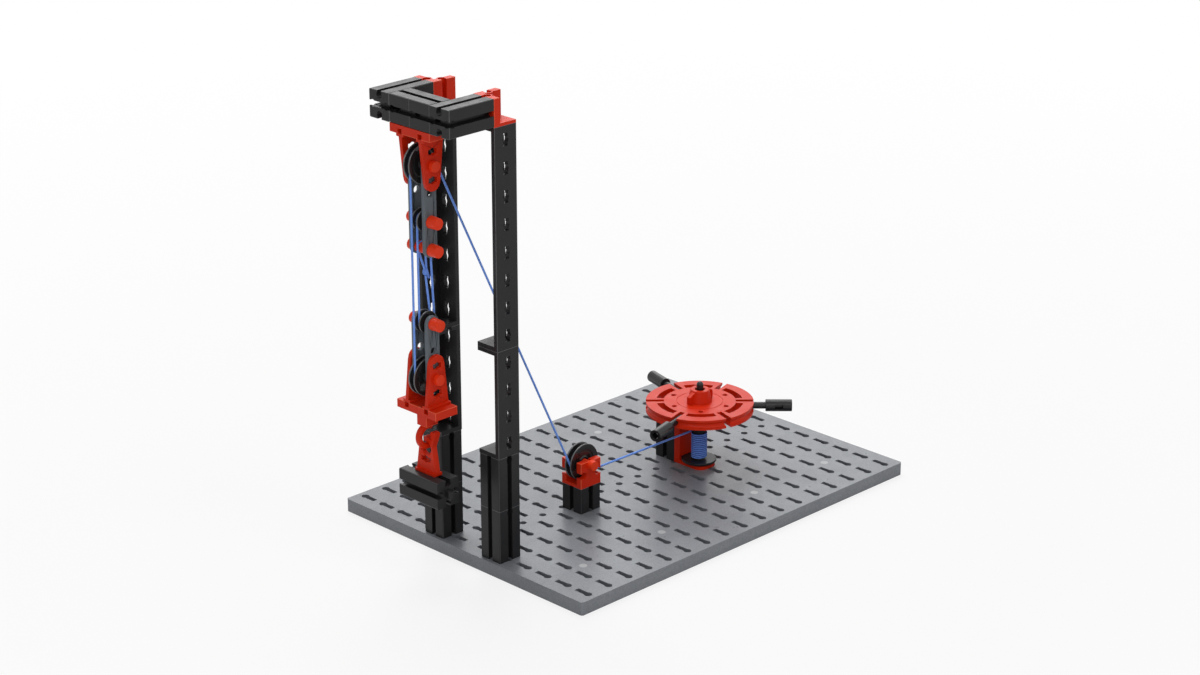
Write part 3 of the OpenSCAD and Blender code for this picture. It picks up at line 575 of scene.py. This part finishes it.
# The first two of their values are colours, as an eye-dropper gives them. The others are the
# roughness, how much it varies, the depth of the grain and the shine.
RED = (srgb(216, 46, 10), srgb(206, 39, 7), 0.40, 0.05, 0.30, 0.16)
# A lighter copy of the red, painted light, so pins stand out from the shaded cheeks.
LIT_PIN_RED = (srgb(242, 66, 28), srgb(234, 58, 24), 0.34, 0.05, 0.25, 0.16)
BLACK = (srgb(38, 38, 39), srgb(33, 33, 34), 0.38, 0.06, 0.40, 0.20)
SHEAVE_BLACK = (srgb(35, 35, 36), srgb(30, 30, 31), 0.20, 0.03, 0.12, 0.50)
AXLE_BLACK = (srgb(33, 33, 34), srgb(27, 27, 28), 0.26, 0.04, 0.12, 0.30)
PLATE_GREY = (srgb(140, 143, 148), srgb(117, 120, 126), 0.32, 0.05, 0.35, 0.20)
STRUT_GREY = (srgb(106, 114, 120), srgb(98, 106, 112), 0.36, 0.05, 0.35, 0.20)
PLATE_SPECKS = 0.6

red_plastic = moulded_plastic("red plastic", *RED)
black_plastic = moulded_plastic("black plastic", *BLACK)
lit_pin_plastic = moulded_plastic("lit pin plastic", *LIT_PIN_RED)
grey_plastic = moulded_plastic("grey plastic", *PLATE_GREY, specks=PLATE_SPECKS,
                               marks=ejector_marks, mark_and_highlight_colour=PALE_GREY)
strut_plastic = moulded_plastic("strut plastic", *STRUT_GREY)
axle_plastic = moulded_plastic("axle plastic", *AXLE_BLACK)
print("nodes in the red plastic:", len(red_plastic.node_tree.nodes), "and in the plate's:",
      len(grey_plastic.node_tree.nodes))

# %% [markdown]
# On the real blocks every outer edge is rounded and catches the light, so it shows as a thin
# paler line. That line is what shows where one black block ends and the next one begins. It
# could be geometry, but it is thinner than the bevel. So the material paints it as a highlight:
# a point is on an edge of the part's box where it is close to two of its faces.
# %% Painted highlights on the edges of blocks
# Width of the painted highlight along an edge, and its colours on black parts and on red ones.
HIGHLIGHT_WIDTH = 0.28 * MM
FACES_AT_EDGE = 2
EDGE_HIGHLIGHT_BLACK = srgb(92, 92, 94)
EDGE_HIGHLIGHT_RED = srgb(240, 96, 64)


def with_painted_edge_highlights(name, plastic, highlight_colour):
    """The plastic of a block-shaped part, with a painted highlight along its outer edges."""
    low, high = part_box(name)

    def edge_highlight_mask(place):
        faces_near = 0
        for at, start, end in zip(xyz(place), low, high):
            inside = (end - start) / 2 - (at - (start + end) / 2).math("ABSOLUTE")
            faces_near = faces_near + inside.math("LESS_THAN", HIGHLIGHT_WIDTH)
        return faces_near.math("GREATER_THAN", FACES_AT_EDGE - 0.5)

    return moulded_plastic("plastic of " + name, *plastic, marks=edge_highlight_mask,
                           mark_and_highlight_colour=highlight_colour)


print("width of a pale edge in mm:", round(HIGHLIGHT_WIDTH / MM, 2))

# %% [markdown]
# The sheaves' thin rim faces get the same painted highlight, as a rounded rim catches the light.
# The box's edges would miss a round rim, so here the distance from the axle tells. The axle runs
# along Y on every sheave.
# %% Painted highlights on the sheaves' rim faces
def with_painted_rim_highlights(name, plastic, highlight_colour):
    """The plastic of a sheave on an axle along Y, with a painted highlight on its rim."""
    low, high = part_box(name)

    def rim_highlight_mask(place):
        x, _, z = xyz(place)
        across = x - (low.x + high.x) / 2
        rise = z - (low.z + high.z) / 2
        distance = (across * across + rise * rise).math("SQRT")
        return distance.math("GREATER_THAN", (high.x - low.x) / 2 - HIGHLIGHT_WIDTH)

    return moulded_plastic("plastic of " + name, *plastic, marks=rim_highlight_mask, mark_and_highlight_colour=highlight_colour)


print("sheaves that get a pale rim:", len([name for name in nodes if "sheave" in name]))

# %% [markdown]
# The braid of the cord is two families of strands that cross. The strands could be modelled,
# but each is about half a millimetre wide, and only its light and dark shows. Seen on the
# unrolled surface, each family is a set of slanted stripes; a strand is high in the middle of
# its stripe. The two families take turns on top, as a weave does. The pattern reads the two
# attributes that the tube carries, so it bends with the cord. On the drum the grooves between
# the turns lie in shade, and a wave that climbs like the helix darkens them.
# %% Braided cord
STRANDS = 5
BRAID_LENGTHS = 0.55
BRAID_DEPTH = 0.08 * MM
BRAID_BUMP = 0.8
CORD_ROUGH = 0.55
CORD_SHINE = 0.12
STRAND_LOW = srgb(72, 112, 232)
STRAND_HIGH = srgb(138, 182, 255)
GROOVE_BLUE = srgb(36, 62, 160)


def turn_grooves(start):
    """1 in the grooves between the drum's turns and 0 on the turns, as a wave up the drum."""
    x, y, z = xyz(object_place(start))
    turned = (y - drum.y).math("ARCTAN2", x - drum.x)
    climbed = (z - top_z) * (2 * math.pi * TURNS / (top_z - first_z))
    wave = 0.5 - (climbed - turned + math.pi / 2).math("COSINE") * 0.5
    return wave * wave


def braided_cord(name, wound=False):
    """Blue braid that follows the cord, darker between the turns where it is wound."""
    material, start, shader = new_material(name)
    around = start.node("ShaderNodeAttribute", {"attribute_name": "around"}, (), "Vector")
    along = start.node("ShaderNodeAttribute", {"attribute_name": "along"}, (), "Fac")
    x, y, _ = xyz(around)
    side = y.math("ARCTAN2", x)
    climb = along * (2 * math.pi / BRAID_LENGTHS)
    left = (side * STRANDS + climb).math("SINE")
    right = (side * STRANDS - climb).math("SINE")
    strand = left.math("MAXIMUM", right) * 0.5 + 0.5
    # The tint is painted light: a painted highlight on each strand's crown, painted shade where
    # it dips.
    tint = mix_colour(strand, STRAND_LOW, STRAND_HIGH)
    if wound:
        tint = mix_colour(turn_grooves(start), tint, GROOVE_BLUE)
    bump = start.node("ShaderNodeBump", {}, {
        "Strength": BRAID_BUMP, "Distance": BRAID_DEPTH, "Height": strand})
    tint.into(shader.inputs["Base Color"])
    bump.into(shader.inputs["Normal"])
    shader.inputs["Roughness"].default_value = CORD_ROUGH
    shader.inputs["Specular IOR Level"].default_value = CORD_SHINE
    return material


blue_cord = braided_cord("blue cord")
wound_cord = braided_cord("blue cord on the drum", wound=True)
for piece in cord_pieces:
    piece.data.materials.clear()
    piece.data.materials.append(wound_cord if piece == winding else blue_cord)
print("cord pieces:", len(cord_pieces))

# %% [markdown]
# Every part of the model gets the plastic that it is moulded in. They could be listed one by
# one, but the name of a part says what it is, so a few word lists are enough. The small pins
# and axles get a lighter copy of the red, which is painted light: it makes a knob stand out
# from the shaded cheek behind it.
# %% Plastics on the parts
BLOCK_WORDS = ("mast_block", "girder", "arm_block", "crossbar", "load_block", "fork_block",
               "winch_block")
RED_BLOCK_WORDS = ("block_base", "corner_bracket", "hook_socket", "fork_bracket")
AXLE_WORDS = ("winch_axle", "handle_rods", "handle_sleeves")
PIN_WORDS = ("axle", "pin", "sleeves", "bushes")


def plastic_of(name):
    """The plastic of a part."""
    if name == "base_plate":
        return grey_plastic
    if "strut" in name:
        return strut_plastic
    if "sheave" in name:
        return with_painted_rim_highlights(name, SHEAVE_BLACK, EDGE_HIGHLIGHT_BLACK)
    if any(word in name for word in AXLE_WORDS):
        return axle_plastic
    if any(word in name for word in BLOCK_WORDS):
        return with_painted_edge_highlights(name, BLACK, EDGE_HIGHLIGHT_BLACK)
    if any(word in name for word in RED_BLOCK_WORDS):
        return with_painted_edge_highlights(name, RED, EDGE_HIGHLIGHT_RED)
    if name == "winch_drum":
        return black_plastic
    if any(word in name for word in PIN_WORDS):
        return lit_pin_plastic
    return red_plastic


rigid_parts = {name: part for name, part in nodes.items() if not name.startswith("cord_")}
for name, part in rigid_parts.items():
    part.data.materials.clear()
    part.data.materials.append(plastic_of(name))
print("parts with a plastic:", len(rigid_parts))

# %% [markdown]
# A moulded part has no knife edges. The model's meshes are loose triangles with sharp edges,
# and they may not be edited, but modifiers may sit on them: a weld joins the triangles, a
# small bevel rounds every edge sharper than a limit, and weighted normals let the big faces
# rule the shading, so they stay flat. The bevel is what catches the light along the edges.
# The plate has hundreds of small slots, so its bevel is finer.
# %% Soft edges
EDGE_ROUND = 0.30 * MM
PLATE_ROUND = 0.20 * MM
EDGE_SEGMENTS = 2
SHARP = math.radians(32)
WELD_REACH = 0.002 * MM


def soften(part, width):
    """Rounds the edges of a part with modifiers."""
    weld = part.modifiers.new("weld", "WELD")
    weld.merge_threshold = WELD_REACH
    bevel = part.modifiers.new("bevel", "BEVEL")
    bevel.width = width
    bevel.segments = EDGE_SEGMENTS
    bevel.limit_method = "ANGLE"
    bevel.angle_limit = SHARP
    bevel.use_clamp_overlap = True
    shading = part.modifiers.new("shading", "WEIGHTED_NORMAL")
    shading.mode = "FACE_AREA"
    shading.keep_sharp = False


for name, part in rigid_parts.items():
    part.data.polygons.foreach_set("use_smooth", [True] * len(part.data.polygons))
    soften(part, PLATE_ROUND if name == "base_plate" else EDGE_ROUND)
print("triangles that get soft edges:",
      sum(len(part.data.polygons) for part in rigid_parts.values()))

# %% [markdown]
# The floor and the surround look white to the eye, also in reflections, but light the object
# only a little. More light would make them white as well, but it would wash out the object.
# The floor keeps a faint shadow near the object and fades to pure white further away, so that
# it has no visible end.
# %% Floor and surround
FLOOR_SIZE = 6.0
FLOOR_DROP = 0.05 * MM
FLOOR_GREY = (0.8, 0.8, 0.8, 1)
FLOOR_ROUGH = 0.9
FLOOR_GLOW = 0.80
FADE_FROM = 0.25
FADE_TO = 1.0
AMBIENT = 0.2
WHITE = (1, 1, 1, 1)


def eye_share(start):
    """1 for what the eye sees, also in a mirror or through glass, and 0 for lighting."""
    camera_ray = start.node("ShaderNodeLightPath", {}, (), "Is Camera Ray")
    glossy_ray = camera_ray.out("Is Glossy Ray")
    clear_ray = camera_ray.out("Is Transmission Ray")
    return camera_ray.math("MAXIMUM", glossy_ray).math("MAXIMUM", clear_ray)


def floor_material():
    """A pale floor that shows white to the eye."""
    material, start, shader = new_material("floor")
    shader.inputs["Base Color"].default_value = FLOOR_GREY
    shader.inputs["Roughness"].default_value = FLOOR_ROUGH
    glow = start.node("ShaderNodeEmission", {}, {"Color": WHITE})
    away = start.node("ShaderNodeVectorMath", {"operation": "LENGTH"},
                      (object_place(start),), "Value")
    share = eye_share(start) * remap(away, FLOOR_GLOW, 1, FADE_FROM, FADE_TO)
    plain = Wire(start.tree, shader.outputs[0])
    mixed = start.node("ShaderNodeMixShader", {}, (share, plain, glow))
    mixed.into(start.tree.nodes["Material Output"].inputs["Surface"])
    return material


floor_mesh = bmesh.new()
bmesh.ops.create_grid(floor_mesh, x_segments=1, y_segments=1, size=FLOOR_SIZE / 2)
bmesh.ops.translate(floor_mesh, vec=(0, 0, -FLOOR_DROP), verts=floor_mesh.verts)
floor = new_piece("floor", floor_mesh, smooth=False)
floor.data.materials.append(floor_material())

world = bpy.data.worlds.new("surround")
bpy.context.scene.world = world
world.use_nodes = True
background = world.node_tree.nodes["Background"]
background.inputs["Color"].default_value = WHITE
strength = eye_share(Wire(world.node_tree)) * (1 - AMBIENT) + AMBIENT
strength.into(background.inputs["Strength"])
print("nodes in the floor's material:", len(floor.data.materials[0].node_tree.nodes))

# %% [markdown]
# The studio is plain: a large soft light above and three weaker ones, behind, on the left and
# high in front. One strong small lamp would leave hard black shadows. With soft ones the tops
# are brightest, the fronts less and the left sides least, which is what shows the shapes. The
# left light stands well to the front, so that more of it reaches the deflecting pulley past
# the masts. Places and sizes are in metres.
# %% Lights
LIGHT_AIM = Vector((-0.02, 0, 0.09))


def soft_light(name, place, size, watts):
    """A square light that points at a place near the middle of the object."""
    data = bpy.data.lights.new(name, "AREA")
    data.shape = "SQUARE"
    data.size = size
    data.energy = watts
    light = bpy.data.objects.new(name, data)
    light.location = place
    light.rotation_euler = (LIGHT_AIM - Vector(place)).to_track_quat("-Z", "Y").to_euler()
    bpy.context.collection.objects.link(light)
    return light


lights = [
    soft_light("above", place=(0.35, 0.75, 1.9), size=1.2, watts=24.5),
    soft_light("behind", place=(1.5, 1.4, 1.15), size=1.2, watts=8),
    soft_light("left", place=(-1.5, -1.1, 1.2), size=0.9, watts=9),
    soft_light("front", place=(0.0, -1.2, 1.9), size=0.7, watts=8),
]
print(len(lights), "lights give", sum(light.data.energy for light in lights), "watts")
